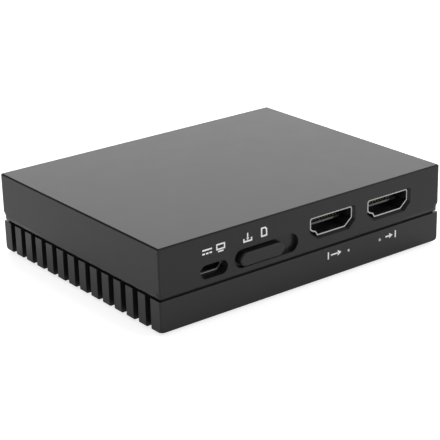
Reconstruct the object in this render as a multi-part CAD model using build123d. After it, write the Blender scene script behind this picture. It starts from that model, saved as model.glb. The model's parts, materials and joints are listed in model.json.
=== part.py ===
from build123d import *
import os

# Video capture box, in millimetres.
# Origin at the middle of the resting plane, +X to the right as seen from the port
# side, the port side faces -Y, +Z is up.

# Housing
width = 95.0
depth = 74.4
box_height = 22.4
cover_height = 13.6
seam_gap = 0.55
seam_inset = 0.9
corner_radius = 0.4
wall = 2.1
roof = 2.0
inner_radius = 1.2
top_edge = 0.36
bottom_edge = 0.34
relief_height = 2.3
relief_radius = 1.95
lip_height = 0.6
lip_thickness = 0.8
lip_clearance = 0.15
overrun = 1.0

# Grooves down both sides of the base
groove_count = 13
groove_pitch = 5.37
first_groove = 5.2
groove_width = 2.27
groove_depth = 2.0
groove_backing = 1.8
base_floor = 2.4

# Rubber feet, stuck on the flat underside
foot_diameter = 8.6
foot_proud = 0.8
foot_chamfer = 0.3
foot_side_inset = 15.5
foot_end_inset = 10.2

# Housing screws, from below into bosses of the cover
screw_diameter = 2.5
screw_head_diameter = 4.6
screw_head_height = 1.6
screw_grip = 5.0
screw_fit = 0.04
screw_clearance = 0.4
head_clearance = 0.6
head_sink = 2.0
screw_side_inset = 7.5
screw_end_inset = 7.4
boss_reach = 3.0
standoff_reach = 2.8
blind_end = 1.0

# Circuit board
board_over_seam = 1.2
board_thickness = 1.6
board_side_gap = 0.6
board_end_gap = 0.4
board_corner = 1.0
leg_slot_gap = 0.3

# Video sockets, both alike
in_socket_inset = 18.79
video_socket_pitch = 20.26
socket_rise = 3.64
socket_half_width = 7.0
socket_half_height = 2.3
socket_corner = 0.45
socket_metal = 0.35
socket_setback = 0.67
socket_length = 9.9
socket_side_gap = 0.68
socket_end_gap = 0.5
socket_cutout_drop = 0.23
throat_gap = 0.2
cutout_corner = 0.6
tongue_width = 11.2
tongue_thickness = 1.1
tongue_chamfer = 0.3
tongue_setback = 2.7
socket_block_start = 6.4
socket_heel_depth = 2.6
socket_heel_inset = 0.3
video_contact_count = 10
video_contact_pitch = 1.0
video_contact_width = 0.45
video_contact_thickness = 0.12
video_contact_start = 0.5
leg_width = 1.6
leg_front = 3.3
leg_back = 8.6
leg_reach = 0.8

# Power and data socket
power_socket_inset = 16.7
power_half_width = 3.55
power_half_height = 1.15
power_corner = 0.3
power_metal = 0.25
power_setback = 2.25
power_length = 5.4
power_flare = 0.2
power_flare_depth = 0.24
power_side_gap = 0.525
power_end_gap = 0.45
power_cutout_drop = 0.35
power_throat_gap = 0.15
power_tongue_width = 4.6
power_tongue_thickness = 0.6
power_tongue_setback = 1.0
power_block_start = 3.6
power_contact_count = 5
power_contact_pitch = 0.65
power_contact_width = 0.35
power_contact_thickness = 0.1
power_leg_width = 1.3
power_leg_place = 2.7

# Slide switch
switch_pitch = 16.9
switch_rise = 1.6
switch_travel = 4.0
knob_end_gap = 1.25
knob_side_gap = 0.7
knob_drop = 0.15
pocket_web = 0.9
pocket_margin = 0.8
knob_length = 14.3
knob_height = 3.7
knob_proud = 1.0
knob_edge = 0.5
knob_float = 0.2
knob_socket_depth = 1.9
lever_width = 2.0
lever_height = 1.4
lever_fit = 0.02
lever_side_gap = 0.5
lever_top_gap = 0.3
carriage_end_gap = 0.9
switch_depth = 4.6
switch_height = 3.4
switch_metal = 0.3
switch_floor = 0.6
switch_back = 0.8
switch_stand_off = 0.7
carriage_width = 5.2
carriage_gap = 0.15
terminal_count = 3
terminal_pitch = 3.0
terminal_width = 0.6
terminal_length = 1.2
terminal_thickness = 0.3
switch_leg_width = 1.4
board_notch_gap = 0.35

# Status lights under the board and the light pipes in the base
out_light_offset = 5.67
in_light_offset = 3.28
light_drop = 2.95
pipe_diameter = 0.75
pipe_fit = 0.05
led_length = 1.6
led_width = 0.8
led_thickness = 0.6
led_setback = 5.4
led_gap = 0.15

# Memory card socket at the back
card_socket_inset = 35.5
card_socket_width = 14.4
card_socket_depth = 14.8
card_socket_height = 1.9
card_metal = 0.2
card_bed = 0.5
card_width = 11.2
card_length = 13.0
card_slot_gap = 0.5
card_contact_count = 8
card_contact_pitch = 1.1
card_contact_width = 0.6
card_contact_length = 4.0
card_contact_thickness = 0.15

# Chips and power parts on the board
capture_chip_size = 12.0
capture_chip_thickness = 1.2
capture_chip_x = -8.0
capture_chip_y = 4.0
pad_thickness = 1.0
pedestal_margin = 1.0
splitter_chip_size = 9.0
splitter_chip_thickness = 0.9
splitter_chip_gap = 5.95
memory_chip_width = 8.0
memory_chip_length = 12.0
memory_chip_thickness = 1.1
memory_chip_offset = 8.0
flash_chip_width = 5.2
flash_chip_length = 5.3
flash_chip_thickness = 1.8
flash_chip_offset = 16.0
crystal_width = 3.2
crystal_length = 2.5
crystal_thickness = 0.8
crystal_offset = 11.4
inductor_size = 5.0
inductor_height = 3.0
inductor_gap = 9.05
inductor_pitch = 8.0
bulk_diameter = 5.0
bulk_height = 5.4
bulk_foot = 1.0
bulk_shoulder = 0.4
bulk_offset = 10.0
bulk_pitch = 7.0
ceramic_length = 1.6
ceramic_width = 0.8
ceramic_height = 0.8
ceramic_pitch = 2.6
ceramic_count = 5
ceramic_gap = 1.6

# Levels and edges that follow from the sizes above
underside = foot_proud
seam_height = box_height - cover_height
top_face = underside + box_height
ledge_level = underside + seam_height - seam_gap / 2
land_level = underside + seam_height + seam_gap / 2
lip_level = land_level + lip_height
floor_level = underside + base_floor
board_low = underside + seam_height + board_over_seam
board_top = board_low + board_thickness
roof_level = top_face - roof
front = -depth / 2
back = depth / 2
front_inner = front + wall
back_inner = back - wall
board_front = front_inner + board_end_gap
board_back = back_inner - board_end_gap
base_end_wall = wall + lip_clearance + lip_thickness
base_side_wall = groove_depth + groove_backing
socket_level = board_top + socket_rise
socket_front = front + socket_setback
power_level = board_top + power_metal + power_half_height
power_front = front + power_setback
switch_level = board_top + switch_rise
pocket_floor = front_inner
web_back = pocket_floor + pocket_web
switch_front = web_back + switch_stand_off
light_level = underside + seam_height - light_drop

# Places of the pieces, seen from the port side
screw_x = width / 2 - screw_side_inset
screw_y = depth / 2 - screw_end_inset
foot_x = width / 2 - foot_side_inset
foot_y = depth / 2 - foot_end_inset
in_socket_x = width / 2 - in_socket_inset
out_socket_x = in_socket_x - video_socket_pitch
power_socket_x = power_socket_inset - width / 2
switch_x = power_socket_x + switch_pitch
out_light_x = out_socket_x + out_light_offset
in_light_x = in_socket_x - in_light_offset
card_socket_x = width / 2 - card_socket_inset
pocket_length = knob_length + switch_travel + 2 * knob_end_gap
pocket_height = knob_height + 2 * knob_side_gap
switch_width = carriage_width + switch_travel + 2 * (carriage_end_gap + switch_metal)
splitter_chip_x = (out_socket_x + in_socket_x) / 2
video_socket_end = socket_front + socket_length + socket_heel_depth
splitter_chip_y = video_socket_end + splitter_chip_gap + splitter_chip_size / 2
memory_chip_x = capture_chip_x
memory_chip_y = capture_chip_y + memory_chip_offset
flash_chip_x = memory_chip_x - flash_chip_offset
flash_chip_y = memory_chip_y
crystal_x = splitter_chip_x - crystal_offset
crystal_y = splitter_chip_y
inductor_x = power_socket_x
inductor_y = power_front + power_length + inductor_gap + (inductor_pitch + inductor_size) / 2
bulk_x = inductor_x + bulk_offset
bulk_y = inductor_y

# Outlines of the sockets, as shares of their half width and half height
socket_shares = [(1, 1), (1, -0.18), (0.91, -0.38), (0.67, -1)]
cutout_shares = [(1, 1), (1, -0.3), (0.7, -1)]
power_shares = [(1, 1), (1, -0.1), (0.76, -1)]


def block(x_size, y_size, z_low, z_high, x=0, y=0):
    """Upright block of a plan size between two levels."""
    return Pos(x, y, (z_low + z_high) / 2) * Box(x_size, y_size, z_high - z_low)


def rounded_block(x_size, y_size, radius, z_low, z_high, x=0, y=0):
    """Upright block with rounded vertical corners."""
    outline = Pos(x, y, z_low) * RectangleRounded(x_size, y_size, radius)
    return extrude(outline, amount=z_high - z_low)


def post(diameter, z_low, z_high, x=0, y=0):
    """Upright round post between two levels."""
    return Pos(x, y, (z_low + z_high) / 2) * Cylinder(diameter / 2, z_high - z_low)


def run_back(outline, y_front, y_back):
    """Outline drawn as seen from the port side, run between two depths."""
    rear = Plane(origin=(0, y_back, 0), x_dir=(1, 0, 0), z_dir=(0, -1, 0))
    return extrude(rear * outline, amount=y_back - y_front)


def run_flared(outline_front, outline_back, y_front, y_back):
    """Solid between two outlines at two depths, both drawn as seen from the port side."""
    mouth = Plane(origin=(0, y_front, 0), x_dir=(1, 0, 0), z_dir=(0, -1, 0))
    throat = Plane(origin=(0, y_back, 0), x_dir=(1, 0, 0), z_dir=(0, -1, 0))
    return loft([throat * outline_back, mouth * outline_front])


def mirrored_outline(shares, half_width, half_height, radius):
    """Left and right alike outline from the shares of its right half."""
    right = [(x * half_width, z * half_height) for x, z in shares]
    left = [(-x, z) for x, z in reversed(right)]
    outline = make_face(Polyline(*right, *left, close=True))
    return fillet(outline.vertices(), radius)


def at_corners(x, y):
    """The four places that mirror one place in X and Y."""
    return [(sx * x, sy * y) for sx in (-1, 1) for sy in (-1, 1)]


def corner_pads(reach, wall_x, wall_y, z_low, z_high):
    """Square pads round the screw places, grown from both walls of each corner."""
    x_size = wall_x - screw_x + reach
    y_size = wall_y - screw_y + reach
    places = at_corners(wall_x - x_size / 2, wall_y - y_size / 2)
    return [block(x_size, y_size, z_low, z_high, x, y) for x, y in places]


def in_row(count, pitch):
    """Places of a centred row."""
    return [(i - (count - 1) / 2) * pitch for i in range(count)]


def socket_bore():
    return mirrored_outline(socket_shares, socket_half_width, socket_half_height, socket_corner)


def socket_outside():
    return offset(socket_bore(), amount=socket_metal)


def socket_cutout(side_gap, end_gap):
    """Outline of the opening round a video socket, wider than its shell by two gaps."""
    half_width = socket_half_width + socket_metal + side_gap
    half_height = socket_half_height + socket_metal + end_gap
    return mirrored_outline(cutout_shares, half_width, half_height, cutout_corner)


def power_cutout(side_gap, end_gap):
    """Outline of the opening before the power socket, wider than its shell by two gaps."""
    length = 2 * (power_half_width + power_metal + side_gap)
    return SlotOverall(length, 2 * (power_half_height + power_metal + end_gap))


def power_bore():
    return mirrored_outline(power_shares, power_half_width, power_half_height, power_corner)


def leg_places():
    """Middle and plan size of each leg that passes through the board."""
    places = []
    for socket_x in (out_socket_x, in_socket_x):
        for side in (-1, 1):
            x = socket_x + side * (socket_half_width + socket_metal / 2)
            for reach in (leg_front, leg_back):
                places.append((x, socket_front + reach, socket_metal, leg_width))
    for side in (-1, 1):
        x = power_socket_x + side * (power_half_width + power_metal / 2)
        places.append((x, power_front + power_leg_place, power_metal, power_leg_width))
        x = switch_x + side * (switch_width - switch_metal) / 2
        places.append((x, switch_front + switch_depth / 2, switch_metal, switch_leg_width))
    return places


def legs_near(x_middle, reach, z_high):
    """The legs of one socket or switch, down through the board."""
    z_low = board_low - leg_reach
    legs = [p for p in leg_places() if abs(p[0] - x_middle) < reach]
    return [block(sx, sy, z_low, z_high, x, y) for x, y, sx, sy in legs]


def pocket_outline(margin=0):
    return SlotOverall(pocket_length + 2 * margin, pocket_height + 2 * margin)


def top_cover():
    """Shell over the board, with the port openings and the switch pocket."""
    body = rounded_block(width, depth, corner_radius, land_level, top_face)
    body = chamfer(body.faces().sort_by(Axis.Z)[-1].edges(), top_edge)
    relief_top = land_level + relief_height
    ring = block(width + overrun, depth + overrun, land_level - overrun, relief_top)
    ring -= rounded_block(width, depth, relief_radius, land_level - overrun, relief_top)
    body -= ring
    inner_width = width - 2 * wall
    inner_depth = depth - 2 * wall
    low = land_level - overrun
    body -= rounded_block(inner_width, inner_depth, inner_radius, low, roof_level)
    hole_top = board_top + screw_grip + blind_end
    for pad in corner_pads(boss_reach, width / 2 - wall, depth / 2 - wall, board_top, roof_level):
        body += pad
    for x, y in at_corners(screw_x, screw_y):
        body -= post(screw_diameter + screw_fit, board_top - overrun, hole_top, x, y)
    for socket_x in (out_socket_x, in_socket_x):
        middle = Pos(socket_x, socket_level)
        mouth = Pos(0, -socket_cutout_drop) * socket_cutout(socket_side_gap, socket_end_gap)
        throat = middle * socket_cutout(throat_gap, throat_gap)
        body -= run_flared(middle * mouth, throat, front, socket_front)
        body -= run_back(throat, socket_front, front_inner + overrun)
    mouth = Pos(power_socket_x, power_level - power_cutout_drop)
    mouth *= power_cutout(power_side_gap, power_end_gap)
    throat = Pos(power_socket_x, power_level)
    throat *= power_cutout(power_flare + power_throat_gap, power_flare + power_throat_gap)
    body -= run_flared(mouth, throat, front, front_inner)
    middle = Pos(switch_x, switch_level)
    body += run_back(middle * pocket_outline(pocket_margin), pocket_floor, web_back)
    body -= run_back(middle * pocket_outline(), front - overrun, pocket_floor)
    slot_length = lever_width + switch_travel + 2 * lever_side_gap
    slot = middle * Rectangle(slot_length, lever_height + 2 * lever_top_gap)
    body -= run_back(slot, pocket_floor - overrun, web_back + overrun)
    slot_level = board_top + (card_bed + card_socket_height) / 2
    slot_height = card_socket_height - card_bed + card_slot_gap
    slot = Pos(card_socket_x, slot_level) * SlotOverall(card_width + 2 * card_slot_gap, slot_height)
    return body - run_back(slot, back_inner - overrun, back + overrun)


def side_groove(y):
    """One groove of the left side, open at the bottom and at the seam."""
    floor_x = -width / 2 + groove_depth
    size = (2 * groove_depth, groove_width, underside - overrun, land_level + overrun)
    return block(*size, floor_x - groove_depth, y)


def finned_base():
    """Tub with grooved sides, standoffs, light pipe holes and a chip pedestal."""
    body = rounded_block(width, depth, corner_radius, underside, ledge_level)
    body = fillet(body.faces().sort_by(Axis.Z)[0].edges(), bottom_edge)
    land_width = width - 2 * seam_inset
    land_depth = depth - 2 * seam_inset
    body += rounded_block(land_width, land_depth, corner_radius, ledge_level, land_level)
    lip_width = width - 2 * (wall + lip_clearance)
    lip_depth = depth - 2 * (wall + lip_clearance)
    body += rounded_block(lip_width, lip_depth, inner_radius, land_level, lip_level)
    cavity_width = width - 2 * base_side_wall
    cavity_depth = depth - 2 * base_end_wall
    body -= rounded_block(cavity_width, cavity_depth, inner_radius, floor_level, lip_level + overrun)
    lip_room = width - 2 * (wall + lip_clearance + lip_thickness)
    body -= rounded_block(lip_room, cavity_depth, inner_radius, land_level, lip_level + overrun)
    for i in range(groove_count):
        groove = side_groove(front + first_groove + i * groove_pitch)
        body -= groove
        body -= mirror(groove, about=Plane.YZ)
    for pad in corner_pads(standoff_reach, cavity_width / 2, cavity_depth / 2, floor_level, board_low):
        body += pad
    for x, y in at_corners(screw_x, screw_y):
        hole = post(screw_diameter + screw_clearance, underside, board_low + overrun, x, y)
        sink_diameter = screw_head_diameter + head_clearance
        sink = post(sink_diameter, underside - overrun, underside + head_sink, x, y)
        body -= hole + sink
    side = capture_chip_size + 2 * pedestal_margin
    pedestal_top = board_low - capture_chip_thickness - pad_thickness
    body += block(side, side, floor_level, pedestal_top, capture_chip_x, capture_chip_y)
    for light_x in (out_light_x, in_light_x):
        hole = Pos(light_x, light_level) * Circle(pipe_diameter / 2 + pipe_fit)
        body -= run_back(hole, front - overrun, front + led_setback + pipe_diameter)
    return body


def rubber_feet():
    """Four discs stuck on the underside."""
    feet = []
    for x, y in at_corners(foot_x, foot_y):
        foot = post(foot_diameter, 0, underside, x, y)
        feet.append(chamfer(foot.faces().sort_by(Axis.Z)[0].edges(), foot_chamfer))
    return feet


def housing_screws():
    """Four screws with their heads sunk in the underside."""
    head_top = underside + head_sink
    head_low = head_top - screw_head_height
    screws = []
    for x, y in at_corners(screw_x, screw_y):
        screw = post(screw_head_diameter, head_low, head_top, x, y)
        screws.append(screw + post(screw_diameter, head_top, board_top + screw_grip, x, y))
    return screws


def circuit_board():
    """Board with screw holes, leg slots and a notch round the switch pocket."""
    board_width = width - 2 * (wall + board_side_gap)
    middle_y = (board_front + board_back) / 2
    board_depth = board_back - board_front
    size = (board_width, board_depth, board_corner)
    body = rounded_block(*size, board_low, board_top, 0, middle_y)
    for x, y in at_corners(screw_x, screw_y):
        hole = post(screw_diameter + screw_clearance, board_low - overrun, board_top + overrun, x, y)
        body -= hole
    for x, y, x_size, y_size in leg_places():
        slot_size = (x_size + 2 * leg_slot_gap, y_size + 2 * leg_slot_gap)
        body -= block(*slot_size, board_low - overrun, board_top + overrun, x, y)
    notch_length = pocket_length + 2 * (pocket_margin + board_notch_gap)
    notch_depth = web_back + board_notch_gap - board_front
    notch = (notch_length, 2 * notch_depth, board_low - overrun, board_top + overrun)
    return body - block(*notch, switch_x, board_front)


def video_socket_shell(socket_x):
    """Pressed steel tube of a video socket with four legs."""
    rear = socket_front + socket_length
    middle = Pos(socket_x, socket_level)
    body = run_back(middle * socket_outside(), socket_front, rear)
    reach = socket_half_width + socket_metal
    side_low = socket_level + socket_shares[1][1] * socket_half_height
    for leg in legs_near(socket_x, reach, side_low + socket_metal):
        body += leg
    return body - run_back(middle * socket_bore(), socket_front - overrun, rear + overrun)


def video_socket_insulator(socket_x):
    """Moulded body that closes the shell, with the tongue and a heel on the board."""
    block_front = socket_front + socket_block_start
    rear = socket_front + socket_length
    middle = Pos(socket_x, socket_level)
    body = run_back(middle * socket_bore(), block_front, rear)
    tongue_front = socket_front + tongue_setback
    tongue = run_back(middle * Rectangle(tongue_width, tongue_thickness), tongue_front, block_front)
    tongue = chamfer(tongue.faces().sort_by(Axis.Y)[0].edges(), tongue_chamfer)
    heel_width = 2 * (socket_half_width - socket_heel_inset)
    heel_top = socket_level + socket_half_height
    heel_y = rear + socket_heel_depth / 2
    heel = block(heel_width, socket_heel_depth, board_top, heel_top, socket_x, heel_y)
    return body + tongue + heel


def video_socket_contacts(socket_x):
    """Blades above and below the tongue."""
    contacts = []
    start = socket_front + tongue_setback + video_contact_start
    end = socket_front + socket_block_start
    middle_y = (start + end) / 2
    size = (video_contact_width, end - start, video_contact_thickness)
    rows = ((1, video_contact_count), (-1, video_contact_count - 1))
    for side, count in rows:
        level = socket_level + side * (tongue_thickness + video_contact_thickness) / 2
        for x in in_row(count, video_contact_pitch):
            contacts.append(Pos(socket_x + x, middle_y, level) * Box(*size))
    return contacts


def power_socket_shell():
    """Small shell with slanted lower corners, a flared mouth and two legs."""
    rear = power_front + power_length
    middle = Pos(power_socket_x, power_level)
    bore = power_bore()
    skin = offset(bore, amount=power_metal)
    body = run_back(middle * skin, power_front, rear)
    flare_end = power_front + power_flare_depth
    body += run_flared(middle * offset(skin, amount=power_flare), middle * skin, power_front, flare_end)
    side_level = power_level + power_shares[1][1] * power_half_height + power_metal
    for leg in legs_near(power_socket_x, power_half_width + power_metal, side_level):
        body += leg
    body -= run_back(middle * bore, power_front - overrun, rear + overrun)
    mouth = middle * offset(bore, amount=power_flare)
    return body - run_flared(mouth, middle * bore, power_front, flare_end)


def power_socket_insulator():
    """Moulded block and thin tongue of the power and data socket."""
    middle = Pos(power_socket_x, power_level)
    block_front = power_front + power_block_start
    body = run_back(middle * power_bore(), block_front, power_front + power_length)
    level = power_level + power_tongue_thickness / 2
    tongue = Pos(power_socket_x, level) * Rectangle(power_tongue_width, power_tongue_thickness)
    return body + run_back(tongue, power_front + power_tongue_setback, block_front)


def power_socket_contacts():
    """Five blades on the lower face of the tongue."""
    start = power_front + power_tongue_setback + power_contact_width
    end = power_front + power_block_start
    size = (power_contact_width, end - start, power_contact_thickness)
    level = power_level - power_contact_thickness / 2
    row = in_row(power_contact_count, power_contact_pitch)
    return [Pos(power_socket_x + x, (start + end) / 2, level) * Box(*size) for x in row]


def mode_switch_frame():
    """Steel can of the slide switch, open below and behind, with the lever window."""
    top = board_top + switch_height
    middle_y = switch_front + switch_depth / 2
    body = block(switch_width, switch_depth, board_top, top, switch_x, middle_y)
    room_width = switch_width - 2 * switch_metal
    room_y = middle_y + (switch_metal + overrun) / 2
    room_depth = switch_depth - switch_metal + overrun
    room_top = top - switch_metal
    body -= block(room_width, room_depth, board_top - overrun, room_top, switch_x, room_y)
    window_width = lever_width + switch_travel + 2 * lever_side_gap
    window = Rectangle(window_width, lever_height + 2 * lever_top_gap)
    window = Pos(switch_x, switch_level) * window
    body -= run_back(window, switch_front - overrun, switch_front + switch_metal + overrun)
    for leg in legs_near(switch_x, switch_width / 2, board_top + switch_metal):
        body += leg
    return body


def mode_switch_base():
    """Insulating bed and back of the switch, inside its can."""
    room_width = switch_width - 2 * switch_metal
    bed_depth = switch_depth - switch_metal
    bed_y = switch_front + switch_metal + bed_depth / 2
    body = block(room_width, bed_depth, board_top, board_top + switch_floor, switch_x, bed_y)
    back_y = switch_front + switch_depth - switch_back / 2
    top = board_top + switch_height - switch_metal
    return body + block(room_width, switch_back, board_top, top, switch_x, back_y)


def mode_switch_terminals():
    """Three flat terminals on the board behind the switch."""
    y = switch_front + switch_depth + terminal_length / 2
    size = (terminal_width, terminal_length, board_top, board_top + terminal_thickness)
    return [block(*size, switch_x + x, y) for x in in_row(terminal_count, terminal_pitch)]


def mode_switch_lever():
    """Sliding carriage and the lever that carries the knob, at the left position."""
    x = switch_x - switch_travel / 2
    inner_front = switch_front + switch_metal + carriage_gap
    inner_back = switch_front + switch_depth - switch_back - carriage_gap
    low = board_top + switch_floor + carriage_gap
    high = board_top + switch_height - switch_metal - carriage_gap
    middle_y = (inner_front + inner_back) / 2
    body = block(carriage_width, inner_back - inner_front, low, high, x, middle_y)
    tip = front + wall - knob_float - knob_socket_depth
    lever = Pos(x, switch_level) * Rectangle(lever_width, lever_height)
    return body + run_back(lever, tip, middle_y)


def mode_switch_knob():
    """Long rounded knob that floats in the pocket and grips the lever."""
    x = switch_x - switch_travel / 2
    rear = pocket_floor - knob_float
    outline = Pos(x, switch_level - knob_drop) * SlotOverall(knob_length, knob_height)
    body = run_back(outline, front - knob_proud, rear)
    body = fillet(body.faces().sort_by(Axis.Y)[0].edges(), knob_edge)
    socket = Rectangle(lever_width + 2 * lever_fit, lever_height + 2 * lever_fit)
    socket = Pos(x, switch_level) * socket
    return body - run_back(socket, rear - knob_socket_depth, rear + overrun)


def status_led(light_x):
    """Small light under the board, over the end of its light pipe."""
    size = (led_length, led_width, board_low - led_thickness, board_low)
    return block(*size, light_x, front + led_setback)


def light_pipe(light_x):
    """Clear pipe from the light down and forward to the front face of the base."""
    top = board_low - led_thickness - led_gap
    bend_y = front + led_setback
    path = Polyline((light_x, front, light_level), (light_x, bend_y, light_level), (light_x, bend_y, top))
    start = Plane(origin=(light_x, front, light_level), x_dir=(1, 0, 0), z_dir=(0, 1, 0))
    return sweep(start * Circle(pipe_diameter / 2), path=path, transition=Transition.RIGHT)


def card_socket_frame():
    """Moulded bed of the card socket with its side rails and end stop."""
    top = board_top + card_socket_height - card_metal
    y = board_back - card_socket_depth / 2
    inner_width = card_socket_width - 2 * card_metal
    body = block(inner_width, card_socket_depth, board_top, top, card_socket_x, y)
    channel_y = board_back - card_length / 2 + overrun / 2
    size = (card_width, card_length + overrun, board_top + card_bed, top + overrun)
    return body - block(*size, card_socket_x, channel_y)


def card_socket_shell():
    """Thin steel lid of the card socket, folded down over both sides."""
    top = board_top + card_socket_height
    y = board_back - card_socket_depth / 2
    body = block(card_socket_width, card_socket_depth, board_top, top, card_socket_x, y)
    room = (card_socket_width - 2 * card_metal, card_socket_depth + overrun)
    return body - block(*room, board_top - overrun, top - card_metal, card_socket_x, y)


def card_socket_contacts():
    """Eight spring strips on the bed of the card channel."""
    y = board_back - card_length + card_contact_length
    low = board_top + card_bed
    size = (card_contact_width, card_contact_length, low, low + card_contact_thickness)
    row = in_row(card_contact_count, card_contact_pitch)
    return [block(*size, card_socket_x + x, y) for x in row]


def capture_chip():
    """Main chip under the board, pressed on the pad of the base."""
    side = capture_chip_size
    low = board_low - capture_chip_thickness
    return block(side, side, low, board_low, capture_chip_x, capture_chip_y)


def thermal_pad():
    """Soft pad between the main chip and the pedestal of the base."""
    side = capture_chip_size
    top = board_low - capture_chip_thickness
    return block(side, side, top - pad_thickness, top, capture_chip_x, capture_chip_y)


def splitter_chip():
    side = splitter_chip_size
    top = board_top + splitter_chip_thickness
    return block(side, side, board_top, top, splitter_chip_x, splitter_chip_y)


def memory_chip():
    top = board_top + memory_chip_thickness
    size = (memory_chip_length, memory_chip_width)
    return block(*size, board_top, top, memory_chip_x, memory_chip_y)


def flash_chip():
    top = board_top + flash_chip_thickness
    size = (flash_chip_width, flash_chip_length)
    return block(*size, board_top, top, flash_chip_x, flash_chip_y)


def clock_crystal():
    size = (crystal_width, crystal_length, board_top, board_top + crystal_thickness)
    return block(*size, crystal_x, crystal_y)


def power_inductors():
    """Two moulded inductors of the power supply."""
    size = (inductor_size, inductor_size, board_top, board_top + inductor_height)
    return [block(*size, inductor_x, inductor_y + y) for y in in_row(2, inductor_pitch)]


def bulk_capacitors():
    """Two round capacitors, each on its square foot."""
    cans = []
    for y in in_row(2, bulk_pitch):
        foot_top = board_top + bulk_foot
        foot = block(bulk_diameter, bulk_diameter, board_top, foot_top, bulk_x, bulk_y + y)
        can = post(bulk_diameter, foot_top, board_top + bulk_height, bulk_x, bulk_y + y)
        can = chamfer(can.faces().sort_by(Axis.Z)[-1].edges(), bulk_shoulder)
        cans.append(foot + can)
    return cans


def ceramic_capacitors():
    """Small capacitors in a row beside the splitter and the memory chip."""
    size = (ceramic_width, ceramic_length, board_top, board_top + ceramic_height)
    splitter_row = splitter_chip_y + splitter_chip_size / 2 + ceramic_gap
    memory_row = memory_chip_y + memory_chip_width / 2 + ceramic_gap
    parts = []
    for x in in_row(ceramic_count, ceramic_pitch):
        parts.append(block(*size, splitter_chip_x + x, splitter_row))
        parts.append(block(*size, memory_chip_x + x, memory_row))
    return parts


nodes = {
    "top_cover": top_cover(),
    "finned_base": finned_base(),
    "rubber_feet": rubber_feet(),
    "housing_screws": housing_screws(),
    "circuit_board": circuit_board(),
    "out_socket_shell": video_socket_shell(out_socket_x),
    "out_socket_insulator": video_socket_insulator(out_socket_x),
    "out_socket_contacts": video_socket_contacts(out_socket_x),
    "in_socket_shell": video_socket_shell(in_socket_x),
    "in_socket_insulator": video_socket_insulator(in_socket_x),
    "in_socket_contacts": video_socket_contacts(in_socket_x),
    "power_socket_shell": power_socket_shell(),
    "power_socket_insulator": power_socket_insulator(),
    "power_socket_contacts": power_socket_contacts(),
    "mode_switch_frame": mode_switch_frame(),
    "mode_switch_base": mode_switch_base(),
    "mode_switch_terminals": mode_switch_terminals(),
    "mode_switch_lever": mode_switch_lever(),
    "mode_switch_knob": mode_switch_knob(),
    "out_status_led": status_led(out_light_x),
    "in_status_led": status_led(in_light_x),
    "out_light_pipe": light_pipe(out_light_x),
    "in_light_pipe": light_pipe(in_light_x),
    "card_socket_frame": card_socket_frame(),
    "card_socket_shell": card_socket_shell(),
    "card_socket_contacts": card_socket_contacts(),
    "capture_chip": capture_chip(),
    "thermal_pad": thermal_pad(),
    "splitter_chip": splitter_chip(),
    "memory_chip": memory_chip(),
    "flash_chip": flash_chip(),
    "clock_crystal": clock_crystal(),
    "power_inductors": power_inductors(),
    "bulk_capacitors": bulk_capacitors(),
    "ceramic_capacitors": ceramic_capacitors(),
}

os.makedirs("parts", exist_ok=True)
for name, shape in nodes.items():
    if isinstance(shape, list):
        shape = Compound(children=shape)
    shape.label = name
    export_step(shape, f"parts/{name}.step")
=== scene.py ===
# %% [markdown]
# # A small video box, dressed for a product photograph
#
# The solids of this box come from CAD: a cover, a base with grooves down its sides, sockets, a slide
# switch and the parts inside. This lesson gives them their finishes, softens the edges that catch
# light, adds the small things that CAD leaves plain, and sets up the camera, the lamps and the floor.
# Every length is in metres and every piece stays where CAD put it.

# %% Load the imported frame
import json
import math

import bmesh
import bpy
from mathutils import Matrix, Vector

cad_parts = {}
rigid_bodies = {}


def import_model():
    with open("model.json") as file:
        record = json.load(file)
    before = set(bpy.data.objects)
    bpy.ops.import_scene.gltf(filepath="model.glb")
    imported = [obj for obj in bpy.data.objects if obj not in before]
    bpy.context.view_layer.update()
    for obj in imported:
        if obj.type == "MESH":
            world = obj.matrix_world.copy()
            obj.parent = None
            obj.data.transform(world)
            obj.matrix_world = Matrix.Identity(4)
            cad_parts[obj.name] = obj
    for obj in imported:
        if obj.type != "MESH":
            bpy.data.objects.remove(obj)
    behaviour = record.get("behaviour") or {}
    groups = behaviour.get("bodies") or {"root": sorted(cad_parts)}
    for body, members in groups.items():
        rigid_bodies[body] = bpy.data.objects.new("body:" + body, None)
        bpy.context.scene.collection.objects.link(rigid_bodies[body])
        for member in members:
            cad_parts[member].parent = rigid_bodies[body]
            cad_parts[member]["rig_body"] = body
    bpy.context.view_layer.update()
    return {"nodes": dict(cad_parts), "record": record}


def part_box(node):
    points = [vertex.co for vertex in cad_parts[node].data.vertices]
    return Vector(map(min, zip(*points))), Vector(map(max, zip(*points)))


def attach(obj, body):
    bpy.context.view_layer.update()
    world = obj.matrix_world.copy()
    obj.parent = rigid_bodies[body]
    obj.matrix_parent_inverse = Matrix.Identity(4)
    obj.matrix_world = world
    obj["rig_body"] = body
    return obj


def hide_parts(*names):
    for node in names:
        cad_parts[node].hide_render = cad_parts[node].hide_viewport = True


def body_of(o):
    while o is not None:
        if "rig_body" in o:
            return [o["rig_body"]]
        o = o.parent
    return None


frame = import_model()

MM = 0.001
nodes = frame["nodes"]

# %% [markdown]
# ## Where things are
#
# A piece that is placed by hand drifts as soon as the CAD changes, so the places used below are read
# from the boxes of the nodes that carry them.

# %% Read the main places from the frame
housing = "housing"
base_low, base_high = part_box("finned_base")
front_y = base_low.y
subparts = {s["node"]: s["material_slot"] for s in frame["record"]["subparts"]}


def middle(node):
    """Middle of a node's box."""
    low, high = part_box(node)
    return (low + high) / 2


print("front face at y =", round(front_y / MM, 2), "mm")

# %% [markdown]
# ## The camera
#
# The photograph was taken with a long lens from the front left and a little above. The direction,
# the roll and the focal length were solved beforehand from the straight edges of the box. A camera
# looks along its own -Z, so its matrix has the right, up and back directions as columns.

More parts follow.
